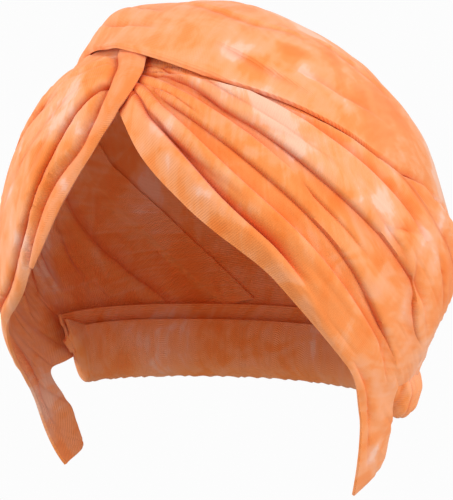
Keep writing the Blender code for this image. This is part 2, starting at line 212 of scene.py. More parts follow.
# %% Shape the head form
WALL = 1.2
CROWN_LIFT = 2.5
CLEAR = 0.7
SEAT = 93.6
SHEET_RADIUS = 95.0
FormRow = namedtuple("FormRow", "level front front_side side rear_side back")
HEAD_FORM = (
    FormRow(-60, 128, 130, 126, 127, 126),
    FormRow(-35, 103, 103, 95.5, 101, 104),
    FormRow(-10, 90, 88.5, 88, 98, 100),
    FormRow(15, 90, 87, 85.5, 90.5, 96.5),
    FormRow(40, 95, 89, 85, 86, 92),
    FormRow(65, 95, 91.5, 87.5, 85, 87.5),
    FormRow(90, 90.5, 90.5, 90.5, 90.5, 90.5),
)
FORM_DIRECTIONS = (0, 45, 90, 135, 180)
HEAD_MIDDLE = Vector((0, 0, -SEAT * MM))


def form_waves():
    """HEAD_FORM as levels and, for each, the cosine waves around the head that pass its columns."""
    order = np.arange(len(FORM_DIRECTIONS))
    waves = np.cos(np.radians(np.outer(FORM_DIRECTIONS, order)))
    rows = np.array([row[1:] for row in HEAD_FORM], float)
    share = np.linalg.solve(waves, rows.T).T
    levels = np.array([row.level for row in HEAD_FORM], float)
    over = share[-2:-4:-1] * np.where(order % 2, -1.0, 1.0)
    return np.append(levels, 180 - levels[-2:-4:-1]), np.vstack([share, over])


FORM_LEVELS, FORM_WAVES = form_waves()


def form_radius(direction):
    """The distance of the head form from the middle of the head along unit directions."""
    level = np.degrees(np.arcsin(np.clip(direction[..., 2], -1, 1)))
    around = np.arctan2(direction[..., 0], -direction[..., 1])
    waves = smooth(level, FORM_LEVELS, FORM_WAVES)
    return (waves * np.cos(around[..., None] * np.arange(waves.shape[-1]))).sum(axis=-1)


def placed(direction, height):
    """Points at a height over the head form, in metres from the origin at the top of the head."""
    points = direction * (form_radius(direction) + height)[..., None]
    return (points - np.array([0.0, 0.0, SEAT])) * MM


print("middle of the head to the brow in mm:", float(form_radius(np.array([0.0, -1.0, 0.0]))))

# %% [markdown]
# ## Finding a way over the head
# Pleats radiate from the twist, so they are easiest to say as a distance from it and an angle around
# it, like the spokes of a wheel. The crown wrap is easiest to say in planes through the ears, tilted
# from the front over the top to the nape, and the strap and the roll by a compass angle and a level.

# %% Turn each panel's own measures into directions
TWIST_LEVEL = 46
TWIST_ACROSS = 14


def toward(around, level):
    """The unit direction at an angle around from the front and a level above the horizontal."""
    a, e = np.radians(around), np.radians(level)
    return np.stack([np.cos(e) * np.sin(a), -np.cos(e) * np.cos(a), np.sin(e)], axis=-1)


def twist_frame(side):
    """The twist's direction for a panel, the way down from it, and the way to the panel's side."""
    pole = toward(-TWIST_ACROSS * side, TWIST_LEVEL)
    down = np.array([0.0, 0.0, -1.0])
    down -= down.dot(pole) * pole
    down /= np.linalg.norm(down)
    out = np.cross(down, pole)
    return pole, down, out * np.sign(out[0]) * side


def from_twist(side, distance, angle):
    """Directions at a distance from the twist and an angle around it, both in degrees."""
    pole, down, out = twist_frame(side)
    d, a = np.radians(distance)[..., None], np.radians(angle)[..., None]
    return np.cos(d) * pole + np.sin(d) * (np.cos(a) * down + np.sin(a) * out)


def seen_from_twist(side, direction):
    """Distance and angle around the twist of unit directions, in degrees."""
    pole, down, out = twist_frame(side)
    distance = np.degrees(np.arccos(np.clip(direction @ pole, -1, 1)))
    angle = np.degrees(np.arctan2(direction @ out, direction @ down))
    return distance, np.where(angle < 0, angle + 360, angle)


def in_ear_plane(tilt, side):
    """The unit direction at an angle to the side, in a plane through the ears tilted up from the front."""
    t, s = np.radians(tilt), np.radians(side)
    return np.stack([np.sin(s), -np.cos(s) * np.cos(t), np.cos(s) * np.sin(t)], axis=-1)


def arc(distance):
    """Millimetres of sheet per radian around the twist, at a distance from it."""
    return SHEET_RADIUS * np.sin(np.radians(distance))


print("twist at level", TWIST_LEVEL)

# %% [markdown]
# ## Seeded wrinkles
# Thin jersey under tension is never quite smooth. Between the main folds lie shallow wrinkles, long
# in the direction of pull and narrow across it. A grid of seeded random heights, joined smoothly,
# gives such wrinkles, and the seed gives the same ones each time the script runs. The grid repeats
# after 64 patches, which is further than the cloth reaches.

# %% Make the shallow wrinkles of pulled cloth
PATCHES = 64
FIRST_ACROSS, FIRST_ALONG = 7.3, 11.9


def wrinkles(across, along, across_size, along_size, seed):
    """Smooth random heights between about -1 and 1, on patches of the sizes given."""
    table = np.random.default_rng(seed).uniform(-1, 1, (PATCHES, PATCHES))
    x, y = across / across_size + FIRST_ACROSS, along / along_size + FIRST_ALONG
    i, j = np.floor(x).astype(int), np.floor(y).astype(int)
    u, v = x - i, y - j
    u, v = u * u * (3 - 2 * u), v * v * (3 - 2 * v)
    i, j, after_i, after_j = i % PATCHES, j % PATCHES, (i + 1) % PATCHES, (j + 1) % PATCHES
    near = table[i, j] * (1 - u) + table[after_i, j] * u
    far = table[i, after_j] * (1 - u) + table[after_i, after_j] * u
    return near * (1 - v) + far * v


print("wrinkle sample:", round(float(wrinkles(np.array(3.0), np.array(5.0), 4, 30, 1)), 3))

# %% [markdown]
# ## Where the dye took
# The cloth was dyed in a bunch, so each patch is a cloud: pale where the bunch was tied, deep where
# the dye pooled. The rows say where the larger clouds lie on the front and near side, and seeded
# ones fill the back and the far side. Pale is above nought and deep orange below. Round clouds would
# look like spots, so waves of two sizes bend their outlines, as dye bleeds unevenly.

# %% List the clouds of dye
Cloud = namedtuple("Cloud", "x y z size shade")
CLOUDS = (
    Cloud(29, -43, -11, 8, 1.0),
    Cloud(46, -47, -25, 5, 0.9),
    Cloud(46, -15, -13, 4, 0.8),
    Cloud(55, -26, -24, 6, 0.7),
    Cloud(66, -19, -34, 4, 0.5),
    Cloud(74, 46, -63, 14, 1.1),
    Cloud(83, 37, -75, 14, 1.1),
    Cloud(40, -58, -28, 9, 1.0),
    Cloud(52, -54, -37, 9, 1.0),
    Cloud(63, -49, -48, 9, 1.0),
    Cloud(58, -42, -35, 4, 0.7),
    Cloud(75, -28, -51, 4, 0.6),
    Cloud(83, -12, -60, 4, 0.7),
    Cloud(85, -25, -74, 7, 0.9),
    Cloud(88, -19, -84, 4, 0.7),
    Cloud(91, 5, -90, 6, 0.9),
    Cloud(92, 13, -101, 6, 0.9),
    Cloud(12, -82, -39, 6, 0.5),
    Cloud(41, -80, -69, 4, 0.5),
    Cloud(17, -77, -34, 5, 0.6),
    Cloud(91, 25, -115, 5, 0.8),
    Cloud(76, -8, -179, 5, 1.0),
    Cloud(71, -43, -57, 5, 0.8),
    Cloud(78, -37, -66, 5, 0.7),
    Cloud(-48, -80, -89, 6, 0.9),
    Cloud(-53, -76, -99, 5, 0.8),
    Cloud(88, 25, -83, 6, 0.9),
    Cloud(90, -8, -114, 5, 0.6),
    Cloud(27, -63, -23, 4, 0.6),
    Cloud(48, -55, -34, 5, 0.7),
    Cloud(34, -84, -64, 4, 0.8),
    Cloud(24, -86, -52, 4, 0.7),
    Cloud(45, -28, -15, 5, -1.0),
    Cloud(53, -3, -19, 7, -0.8),
    Cloud(67, -5, -33, 7, -0.9),
    Cloud(74, -15, -44, 7, -0.7),
    Cloud(39, -48, -20, 7, -0.4),
    Cloud(90, -9, -83, 5, -1.2),
    Cloud(88, 2, -73, 6, -1.1),
    Cloud(85, -16, -66, 4, -0.7),
    Cloud(73, -48, -67, 5, -0.9),
    Cloud(86, -28, -99, 5, -0.7),
    Cloud(90, 27, -92, 4, -0.9),
    Cloud(90, -16, -97, 4, -1.1),
    Cloud(63, -64, -72, 14, -0.6),
    Cloud(76, -51, -102, 13, -0.5),
    Cloud(82, -36, -126, 9, -0.5),
    Cloud(42, -70, -46, 5, -0.7),
    Cloud(31, -85, -66, 4, -0.9),
    Cloud(41, -82, -75, 4, -0.9),
    Cloud(-26, -59, -19, 5, -1.0),
    Cloud(-18, -69, -24, 5, -0.9),
    Cloud(-35, -79, -53, 6, -1.1),
    Cloud(-39, -80, -63, 6, -1.0),
    Cloud(-18, -84, -48, 4, -0.9),
    Cloud(-27, -70, -30, 8, 1.1),
    Cloud(-34, -72, -39, 7, 0.8),
    Cloud(-23, -80, -43, 5, 0.7),
    Cloud(-20, -59, -16, 4, 0.6),
    Cloud(-54, -65, -55, 3, 0.6),
    Cloud(-61, -66, -73, 5, 1.0),
    Cloud(-53, -75, -80, 6, 0.9),
    Cloud(-27, -87, -66, 5, 0.9),
    Cloud(-19, -79, -38, 3, 0.8),
)
UNSEEN_CLOUDS, DYE_SEED = 60, 31
UNSEEN_AROUND, UNSEEN_LEVEL = (100, 290), (-45, 75)
UNSEEN_SIZE, UNSEEN_STRENGTH, UNSEEN_SHADE = (8, 17), (0.5, 1.1), 0.9
CLOTH_HEIGHT = 4.0
BLEED, BLEED_WAVE = 2.4, 5.0
BLEED_STARTS = ((0, 2, 4), (1, 5, 3))
MOST_DYE = 1.2


def seeded_clouds():
    """More clouds on the back and the far side, placed at random but the same ones each time."""
    pick = np.random.default_rng(DYE_SEED)
    around = pick.uniform(*UNSEEN_AROUND, UNSEEN_CLOUDS)
    level = pick.uniform(*UNSEEN_LEVEL, UNSEEN_CLOUDS)
    points = placed(toward(around, level), np.full(UNSEEN_CLOUDS, CLOTH_HEIGHT)) / MM
    size = pick.uniform(*UNSEEN_SIZE, UNSEEN_CLOUDS)
    shade = pick.choice([-UNSEEN_SHADE, UNSEEN_SHADE], UNSEEN_CLOUDS)
    shade = shade * pick.uniform(*UNSEEN_STRENGTH, UNSEEN_CLOUDS)
    return np.column_stack([points, size, shade])


def dye_taken(points):
    """How pale the dye left the cloth at points in metres, from about -1 for deep orange to 1."""
    taken = np.zeros(points.shape[:-1])
    place = points / MM
    for turn, start in enumerate(BLEED_STARTS, 1):
        place = place + BLEED / turn * np.sin(np.roll(place, turn, axis=-1) / (BLEED_WAVE / turn) + start)
    for x, y, z, size, shade in np.vstack([np.array(CLOUDS, float), seeded_clouds()]):
        away = ((place - (x, y, z)) ** 2).sum(axis=-1)
        taken += shade * np.exp(-away / size**2)
    return np.clip(taken, -MOST_DYE, MOST_DYE)


print("clouds of dye:", len(CLOUDS) + UNSEEN_CLOUDS)

# %% [markdown]
# ## A sheet of jersey
# Each panel starts as a flat grid. Its points are moved to the places that a function gives, and a
# Solidify modifier gives it the wall of the cloth, towards the head. A small bevel rounds the cut
# edge. The sheet also gets a map in centimetres of cloth, across and along, for the ribs.

# %% Make a sheet of jersey from rows of points
EDGE_WIDTH, EDGE_SEGMENTS, EDGE_ANGLE = 0.4, 2, 80
SMOOTH_ANGLE = 60


def sheet(name, points, cloth_mm, masks):
    columns, rows = points.shape[:2]
    bpy.ops.mesh.primitive_grid_add(x_subdivisions=columns - 1, y_subdivisions=rows - 1, size=2)
    obj = bpy.context.object
    obj.name = obj.data.name = name
    mesh = obj.data
    grid = np.empty(len(mesh.vertices) * 3)
    mesh.vertices.foreach_get("co", grid)
    column = np.rint((grid[0::3] + 1) / 2 * (columns - 1)).astype(int)
    row = np.rint((grid[1::3] + 1) / 2 * (rows - 1)).astype(int)
    mesh.vertices.foreach_set("co", points[column, row].ravel())
    corner = np.empty(len(mesh.loops), int)
    mesh.loops.foreach_get("vertex_index", corner)
    mesh.uv_layers[0].name = "cloth"
    mesh.uv_layers[0].uv.foreach_set("vector", (cloth_mm[column, row] / 10)[corner].ravel())
    masks["dye"] = dye_taken(points)
    for mask, values in masks.items():
        layer = mesh.attributes.new(mask, "FLOAT", "POINT")
        layer.data.foreach_set("value", values[column, row].astype(np.float32))
    face_outwards(mesh)
    give_wall(obj)
    return obj


def face_outwards(mesh):
    shell = bmesh.new()
    shell.from_mesh(mesh)
    shell.faces.ensure_lookup_table()
    middle = shell.faces[len(shell.faces) // 2]
    if middle.normal.dot(middle.calc_center_median() - HEAD_MIDDLE) < 0:
        bmesh.ops.reverse_faces(shell, faces=shell.faces)
    shell.to_mesh(mesh)
    shell.free()


def give_wall(obj):
    wall = obj.modifiers.new("wall", "SOLIDIFY")
    wall.thickness = WALL * MM
    wall.offset = -1
    edge = obj.modifiers.new("soft_edge", "BEVEL")
    edge.width = EDGE_WIDTH * MM
    edge.segments = EDGE_SEGMENTS
    edge.limit_method = "ANGLE"
    edge.angle_limit = np.radians(EDGE_ANGLE)
    bpy.ops.object.modifier_apply(modifier="wall")
    bpy.ops.object.modifier_apply(modifier="soft_edge")
    bpy.ops.object.shade_smooth_by_angle(angle=np.radians(SMOOTH_ANGLE))


def triangles(obj):
    return sum(len(face.vertices) - 2 for face in obj.data.polygons)


def steps_along(points, axis):
    """Distance travelled over a grid of points along one axis, in millimetres."""
    step = np.linalg.norm(np.diff(points, axis=axis), axis=-1) / MM
    start = np.zeros_like(step[:1] if axis == 0 else step[:, :1])
    return np.concatenate([start, np.cumsum(step, axis=axis)], axis=axis)


print("wall of the cloth in mm:", WALL)

# %% [markdown]
# ## Where the crown wrap ends
# The wrap over the crown lies on top of both side panels, so its edge has to be known before they
# are made: the panels run up to it and a little way under. The near edge swings down from the twist
# past the temple to the nape, and the far edge lies higher.

# %% Draw the edge of the crown wrap
EdgeRow = namedtuple("EdgeRow", "tilt left right")
CROWN_EDGE = (
    EdgeRow(50.5, 14, 13),
    EdgeRow(51.5, 21, 16.5),
    EdgeRow(55, 34, 20.5),
    EdgeRow(60, 47.5, 24.5),
    EdgeRow(70, 62.6, 35.5),
    EdgeRow(88, 70.3, 52.5),
    EdgeRow(112, 72, 63.5),
    EdgeRow(136, 72, 68),
    EdgeRow(160, 67, 66),
    EdgeRow(180, 58, 58),
    EdgeRow(197, 43, 43),
    EdgeRow(206, 31, 31),
    EdgeRow(214.5, 18, 18),
)
FrontRow = namedtuple("FrontRow", "side tilt")
CROWN_FRONT = (
    FrontRow(-26, 61.5),
    FrontRow(-19, 58.3),
    FrontRow(-14, 56.1),
    FrontRow(-9, 54.4),
    FrontRow(-4, 52.6),
    FrontRow(0, 51.6),
    FrontRow(7, 50.7),
    FrontRow(14, 50.5),
)
FRONT_REACH = 8.0
HIDDEN_MARGIN = 11.0
EDGE_STEPS = 200


def crown_tilt(tilt, side):
    """The tilt of the crown wrap's points: its front edge rises towards the far side."""
    front = smooth(side, [row.side for row in CROWN_FRONT], [row.tilt for row in CROWN_FRONT])
    first = CROWN_EDGE[0].tilt
    return tilt + (front - first) * np.exp(-(tilt - first) / FRONT_REACH)


def crown_side(tilt, sign):
    """How far the crown wrap's edge lies to the side that sign gives, in degrees."""
    tilts = [row.tilt for row in CROWN_EDGE]
    left = smooth(tilt, tilts, [row.left for row in CROWN_EDGE])
    right = smooth(tilt, tilts, [row.right for row in CROWN_EDGE])
    return np.where(np.asarray(sign) < 0, right, left)


def crown_edge_from_twist(side, distance):
    """The crown wrap's edge as an angle around a panel's twist."""
    tilt = np.linspace(CROWN_EDGE[0].tilt, CROWN_EDGE[-1].tilt, EDGE_STEPS)
    across = crown_side(tilt, side) * side
    edge = in_ear_plane(crown_tilt(tilt, across), across)
    at, angle = seen_from_twist(side, edge)
    order = np.argsort(at)
    return np.interp(distance, at[order], angle[order])


print("crown edge over the ear in degrees:", float(crown_side(np.array(90.0), 1)))

# %% [markdown]
# ## The strap's path
# The strap is a folded band that comes out from under the crown wrap, crosses the twist and follows
# the wearer's right front edge. The side panels dip under it, so its path comes before them too.

# %% Draw the strap's path
StrapRow = namedtuple("StrapRow", "around level width lift")
STRAP = (
    StrapRow(-11.0, 57, 14.5, 3.4),
    StrapRow(-9.4, 54.7, 13.6, 3.8),
    StrapRow(-7.0, 52.3, 12.4, 4.3),
    StrapRow(-5.1, 49.7, 11.4, 4.7),
    StrapRow(-4.2, 47.2, 11.4, 4.8),
    StrapRow(-4.2, 44.9, 11.0, 4.8),
    StrapRow(-4.5, 42.6, 10.3, 4.6),
    StrapRow(-5.1, 40.4, 9.5, 4.3),
    StrapRow(-6.0, 38.3, 8.6, 3.9),
    StrapRow(-6.6, 36.2, 8.2, 3.5),
    StrapRow(-7.4, 34.1, 7.5, 3.2),
    StrapRow(-8.5, 31.6, 6.8, 3.0),
    StrapRow(-10.2, 27.6, 6.0, 2.8),
    StrapRow(-12.1, 24.6, 6.2, 2.7),
    StrapRow(-14.7, 21.2, 7.4, 2.6),
    StrapRow(-17.9, 16.8, 8.6, 2.5),
    StrapRow(-20.6, 12.4, 8.8, 2.4),
    StrapRow(-23.3, 7.0, 8.0, 2.3),
    StrapRow(-26.1, 1.6, 6.6, 2.2),
    StrapRow(-29.0, -4.0, 3.6, 2.1),
)
STRAP_BESIDE = 1.8
STRAP_SLOPE = 2.0
STRAP_ARCH = 1.1
STRAP_SHADE = 1.6
STRAP_STEPS = 80


def strap_line(along):
    """The strap's middle as directions, with its half width and inner height, in millimetres."""
    rows = np.arange(len(STRAP))
    at = np.asarray(along) * rows[-1]
    around, level, width, lift = smooth(at, rows, [tuple(row) for row in STRAP]).T
    return toward(around, level), width / 2, lift


def beside_strap(direction):
    """How far directions lie past the strap's edge, and the strap's inner height there, in mm."""
    middle, half, lift = strap_line(np.linspace(0, 1, STRAP_STEPS))
    cosine = direction @ middle.T
    near = np.argmax(cosine, axis=-1)
    nearest = np.take_along_axis(cosine, near[..., None], axis=-1)[..., 0]
    offset = np.arccos(np.clip(nearest, -1, 1)) * SHEET_RADIUS
    return offset - half[near], lift[near]


def under_strap(direction):
    """How high a sheet may stand where the strap lies over it, rising clear of it to the side."""
    past, lift = beside_strap(direction)
    return lift - CLEAR + STRAP_SLOPE * np.clip(past - STRAP_BESIDE, 0, None)


def strap_shade(direction):
    """How much shade is painted in the fold beside the strap at a direction, from 1 at the strap's edge to 0.
    """
    past, _ = beside_strap(direction)
    return np.exp(-((np.clip(past, 0, None) / STRAP_SHADE) ** 2))


print("strap rows:", len(STRAP))

# %% [markdown]
# ## The pleats of the side panels
# Each row of these tables is one pleat line, from the front edge up to the crown wrap. The first
# columns are its angle around the twist at six distances and at its end, and the distance of that
# end. Then come the height of the cloth at three distances, the depth of the crease, where it begins
# and fades, and how far its slopes reach below and above it. A short slope is the side where one
# layer laps over the next, and lap is how far it does, in millimetres. A high curve gives the long
# slope a flat floor and a wall. The swell draws the cloth in where the pleats meet in the twist.

# %% List the pleats
LINE_STATIONS = (10, 20, 40, 70, 100, 116)
BODY_STATIONS = (30, 70, 110)
Fold = namedtuple(
    "Fold",
    "name root temple brow side ear tail end end_at near middle far depth begins fades below above lap curve",
)
LEFT_FOLDS = (
    Fold("edge", 47, 47, 53, 62, 63, 58, 45, 129, 1.5, 1.5, 0.8, 0, 0, 0, 1, 1, 0, 1),
    Fold("hem", 73.5, 62.9, 63.2, 66.6, 65.4, 61.5, 55, 136, 4.6, 4.8, 1.6, 5.4, 7, 76, 1, 4.8, 1.4, 3),
    Fold("low", 86, 75.2, 72.8, 74.2, 73, 69.5, 63.5, 131.5, 4.8, 4.8, 2.4, 2.6, 6, 118, 1, 4.2, 1, 1.3),
    Fold("middle", 91, 83.4, 82.2, 81.2, 77.7, 74, 71, 124.5, 4.8, 4.8, 3, 3, 16, 116, 5, 1, 1.2, 1.2),
    Fold("upper", 102, 92.4, 88.4, 87, 84, 80, 77, 130, 4.8, 4.8, 3.6, 2.6, 6, 54, 1, 4.6, 0.9, 1.2),
    Fold("main", 108, 101.6, 95.4, 92.8, 93.2, 85.2, 83, 138, 5.2, 5.4, 4.6, 2.9, 7, 122, 9, 0.9, 2.4, 1.1),
    Fold("soft", 124, 107.6, 99.6, 98.5, 97.5, 93.5, 92, 145, 5.4, 5.4, 4.6, 2.2, 6, 38, 3.4, 1, 0.9, 1.3),
    Fold("wedge", 130, 115, 105, 102.9, 102.2, 101, 103, 154, 5.2, 5, 4.6, 2.8, 30, 104, 0.9, 6.2, 0.8, 3),
    Fold("back", 135, 119, 111.4, 110, 111, 113, 120, 160.5, 4.8, 4.8, 4, 1, 60, 158, 5, 5, 0, 1.5),
)
RIGHT_FOLDS = (
    Fold("edge", 66, 58.5, 50, 51.5, 60, 57, 45, 129, 0.4, 0.4, 4, 0, 0, 0, 1, 1, 0, 1),
    Fold("seat", 80, 70, 57, 53.5, 63, 60, 52, 136, 4.4, 3.4, 6, 0, 0, 0, 1, 1, 0, 1),
    Fold("groove", 108, 87, 66.5, 57, 66, 64, 60, 132, 6.2, 4.8, 5, 3.4, 4, 100, 4.6, 0.9, 2, 2.4),
    Fold("outer", 112, 96, 79, 74, 74, 70, 66, 124.5, 6.8, 4.8, 5.4, 0.6, 24, 96, 5, 4, 0, 1.5),
    Fold("side", 114, 103, 90, 86, 82, 77, 72, 130, 7.2, 3.6, 6, 2, 34, 118, 2, 5, 1, 1.5),
    Fold("far", 117, 107, 97, 94, 90, 84.4, 81, 138, 7.2, 2.8, 4.4, 2.4, 36, 120, 5, 1.2, 1.2, 1.3),
    Fold("soft", 119, 111, 104, 102, 97, 92.5, 91, 145, 6.6, 2.4, 4.2, 1.6, 24, 126, 3, 3, 0, 1.5),
    Fold("wedge", 122, 114, 110.5, 110, 103, 101, 103, 154, 4.4, 1.8, 4.4, 2.8, 24, 104, 4, 1.6, 1.4, 1.3),
    Fold("back", 125, 118, 116, 117, 113, 113, 120, 160.5, 1.6, 1.4, 3.6, 1.4, 60, 158, 5, 5, 0, 1.5),
)
SwellRow = namedtuple("SwellRow", "distance share")
SWELL = (
    SwellRow(8, 0.3),
    SwellRow(15, 0.75),
    SwellRow(24, 1.0),
    SwellRow(122, 1.0),
    SwellRow(134, 0.6),
)
print("pleats:", len(LEFT_FOLDS), "and", len(RIGHT_FOLDS))

# %% [markdown]
# ## Small creases between the pleats
# Between the main pleats lie shorter creases that come and go. Each is a line of three points on a
# panel, as a distance from the twist and an angle around it, with its depth and its two slopes.

# %% List the small creases
Crease = namedtuple("Crease", "name begin middle end depth below above lap curve")
LEFT_CREASES = (
    Crease("tail hem", (100, 65), (115, 61), (131, 49.5), 2.8, 0.9, 2.6, 1, 1.5),
    Crease("under the wrap", (0, 122), (12, 118), (26, 113), 2.6, 1, 1.6, 0.5, 1.3),
    Crease("knot fold", (0, 114), (14, 110), (26, 103), 2.8, 1, 1.6, 0.5, 1.3),
    Crease("thin fold", (0, 92), (14, 88), (30, 84.5), 2.8, 0.9, 1.4, 0.4, 1.3),
    Crease("short fold", (16, 71), (28, 68), (50, 70.5), 2.2, 1.4, 1, 0.5, 1.5),
    Crease("brow fold", (22, 96.5), (34, 96), (58, 97), 1.2, 2.6, 1.6, 0.3, 1.5),
    Crease("cheek fold", (56, 86.8), (66, 86), (86, 84.5), 1.8, 3.2, 1.4, 0.6, 1.5),
    Crease("ear fold", (72, 95), (90, 94.5), (112, 92), 1.2, 3, 1.6, 0.5, 1.5),
    Crease("upright fold", (96, 97), (107, 92), (123, 87.5), 2, 2, 3, 0.6, 1.5),
    Crease("cross fold", (84, 95), (90, 98.5), (98, 103), 1.2, 3, 3, 0, 1.5),
    Crease("rear fold", (104, 107), (118, 103), (132, 99), 1.6, 3, 2.4, 0.4, 1.5),
    Crease("band fold", (30, 101), (48, 98.5), (66, 97), 1, 2.4, 2.4, 0.2, 1.5),
)
RIGHT_CREASES = (
    Crease("tail hem", (100, 65), (115, 61), (131, 49.5), 2.4, 0.9, 3, 1, 1.5),
    Crease("corner fold", (28, 115), (38, 109), (54, 104), 1.6, 2.4, 1.6, 0.4, 1.5),
    Crease("knot fold", (16, 108), (24, 101), (38, 97), 0.8, 2, 2.6, 0.2, 1.5),
    Crease("long fold", (30, 77), (42, 71), (60, 64), 0.9, 3, 2, 0.2, 1.5),
    Crease("cheek fold", (50, 82), (76, 80.5), (104, 79), 1.4, 3, 1.6, 0.5, 1.5),
    Crease("ear fold", (70, 91), (92, 89), (114, 85), 1.6, 3, 1.6, 0.6, 1.5),
    Crease("upright fold", (92, 97), (105, 92), (121, 88.5), 2.2, 2, 3.2, 0.8, 1.5),
    Crease("rear fold", (104, 108), (118, 104), (132, 99), 1.6, 3, 2.4, 0.4, 1.5),
)
print("small creases:", len(LEFT_CREASES), "and", len(RIGHT_CREASES))

# %% [markdown]
# ## Laying out a side panel
# A panel's lines run from the seam under the strap to the hem. The seam lies a little to the side of
# the middle, and each line starts where it crosses it. That place is found by stepping along the
# line from near the twist until it has passed the seam.

# %% Lay out the lines of a side panel
SEAM_ACROSS = -6.5
SEAM_HALF_GAP = 0.4
SEAM_SEARCH = (2, 40, 153)


def fan_angles(folds, side, across, distance):
    """The angle around the twist of a fan's lines: past the last fold they reach the crown wrap."""
    rows = np.arange(len(folds))
    inside = np.clip(across, 0, rows[-1])
    lines = smooth(inside, rows, [fold[1:8] for fold in folds])
    ends = smooth(inside, rows, [fold.end_at for fold in folds])
    angle = np.empty_like(distance)
    for i, line in enumerate(lines):
        angle[i] = smooth(distance[i], LINE_STATIONS + (ends[i],), line)
    past = (across - rows[-1])[:, None]
    edge = crown_edge_from_twist(side, distance)
    margin = np.degrees(HIDDEN_MARGIN / arc(distance))
    return angle + np.clip(past, 0, 1) * (edge - angle) + np.clip(past - 1, 0, 1) * margin


def fan_roots(folds, side, across):
    """The distance from the twist at which each line of a fan crosses the seam under the strap."""
    distance = np.tile(np.linspace(*SEAM_SEARCH), (len(across), 1))
    angle = fan_angles(folds, side, across, distance)
    points = placed(from_twist(side, distance, angle), np.full_like(distance, WALL)) / MM
    clear = side * (points[..., 0] - SEAM_ACROSS) - SEAM_HALF_GAP
    after = np.argmax(clear > 0, axis=1)
    row = np.arange(len(across))
    low, high = clear[row, after - 1], clear[row, after]
    step = distance[0, 1] - distance[0, 0]
    return distance[row, after] - step * high / (high - low)


print("seam from the middle in mm:", SEAM_ACROSS)

# %% [markdown]
# ## Folding a side panel
# A crease is deep at its line and fades to both sides. On its steep side the cloth doesn't only
# drop: the upper layer keeps its height almost to the line, rises a little and hangs over the lower
# one, so its points are also moved across. That lap draws the thin dark line beside a bright fold.
# Close to the twist the pleats are narrow, so the slopes are shorter there. A mask says how far each
# point lies in a crease, and shade is painted there from it: a deeper red-orange over the crease and
# a thin dark line along it, on top of the shade that the lap casts.

# %% Fold a side panel
RIDGE_SHARE, RIDGE_AT = 0.14, 2.2
WALL_AT, WALL_CURVE = 0.62, 3
LAP_AT = 0.8
CREASE_STEPS = 60


def fold_profile(offset, row, width):
    """A crease's cut as a share of its depth, and how far the points beside it move across, in mm."""
    onto = np.where(row.above < row.below, offset, -offset)
    upper = np.clip(onto, 0, None) / (min(row.below, row.above) * width)
    lower = np.clip(-onto, 0, None) / (max(row.below, row.above) * width)
    ridge = RIDGE_SHARE * upper / RIDGE_AT * np.exp(1 - upper / RIDGE_AT)
    wall = np.exp(-((upper / WALL_AT) ** WALL_CURVE)) - ridge
    cut = np.where(onto > 0, wall, np.exp(-(lower**row.curve)))
    slide = row.lap * width * upper / LAP_AT * np.exp(1 - upper / LAP_AT)
    return cut, -np.sign(offset) * slide


def beside(direction, path):
    """How far directions lie from a path over the head, in mm, and the share of the path passed."""
    near = np.argmax(direction @ path.T, axis=-1)
    ahead = np.gradient(path, axis=0)
    ahead /= np.linalg.norm(ahead, axis=-1, keepdims=True)
    out = np.cross(path, ahead)
    offset = (direction * out[near]).sum(axis=-1) * SHEET_RADIUS
    step = np.linalg.norm(np.diff(path, axis=0), axis=-1).mean()
    past = ((direction - path[near]) * ahead[near]).sum(axis=-1) / step
    return offset, (near + past) / (len(path) - 1)


def crease_line(row):
    """A small crease as points along it, from the three in its row."""
    points = np.array([row.begin, row.middle, row.end], float)
    return smooth(np.linspace(0, 2, CREASE_STEPS), (0, 1, 2), points).T


print("points along a small crease:", CREASE_STEPS)

# %% [markdown]
# ## Adding up a panel's creases
# Pleats and small creases are cut in the same way, so they go through one loop. Each crease fades in
# and out along its line, and its depth, its sideways moves and the shade painted into it are added to
# those of the others.

# %% Add up a panel's creases
NARROWEST, NARROW_REACH, NARROW_FROM = 0.24, 30, 2
SMALL_NARROW = 0.4
FADE_IN, FADE_OUT = 9, 14
SHADE_LINE_WIDTH = 0.6
FULL_SHADE_DEPTH = 2.0
SMALL_CREASE_SHADE = 0.6


def fold_panel(folds, creases, side, across, distance, angle):
    """A panel's height over the form, its creases' depth, their sideways moves, and its painted shade."""
    rows = np.arange(len(folds))
    inside = np.clip(across, 0, rows[-1])
    bodies = smooth(inside, rows, [(fold.near, fold.middle, fold.far) for fold in folds])
    body = np.array([smooth(d, BODY_STATIONS, b) for d, b in zip(distance, bodies)])
    body = body * smooth(distance, [row.distance for row in SWELL], [row.share for row in SWELL])
    depth, moved, painted_shade = np.zeros_like(distance), np.zeros_like(distance), np.zeros_like(distance)
    width = np.clip((distance - NARROW_FROM) / NARROW_REACH, NARROWEST, 1)
    direction = from_twist(side, distance, angle)
    cuts = []
    for fold in folds:
        line = smooth(distance, LINE_STATIONS + (fold.end_at,), fold[1:8])
        share = np.clip((distance - fold.begins + FADE_IN / 3) / FADE_IN, 0, 1)
        share = share * np.clip((fold.fades - distance) / FADE_OUT, 0, 1)
        cuts.append((fold, np.radians(angle - line) * arc(distance), share, width, 1.0))
    for row in creases:
        offset, along = beside(direction, from_twist(side, *crease_line(row)))
        share = np.clip(along * 3, 0, 1) * np.clip((1 - along) * 2, 0, 1)
        cuts.append((row, offset * side, share, np.clip(width, SMALL_NARROW, 1), SMALL_CREASE_SHADE))
    for row, offset, share, narrow, tint in cuts:
        cut, slide = fold_profile(offset, row, narrow)
        depth += row.depth * share * cut
        moved += share * slide
        # Shade painted into the crease: a deeper tone over it and a thin dark line along it.
        shade_line = np.exp(-((offset / SHADE_LINE_WIDTH) ** 2))
        painted_shade += tint * share * row.depth / FULL_SHADE_DEPTH * (0.5 * np.clip(cut, 0, 1) ** 2 + 0.6 * shade_line)
    return body, depth, moved, np.clip(painted_shade, 0, 1)


print("shortest slope at the twist as a share:", NARROWEST)

# %% [markdown]
# ## Wrinkles on top of the pleats
# Shallow wrinkles and thin raised lines run along the pull of each panel. At the nape the hem is
# drawn in, so upright folds stand over the roll. They begin behind the ear and die out above it.

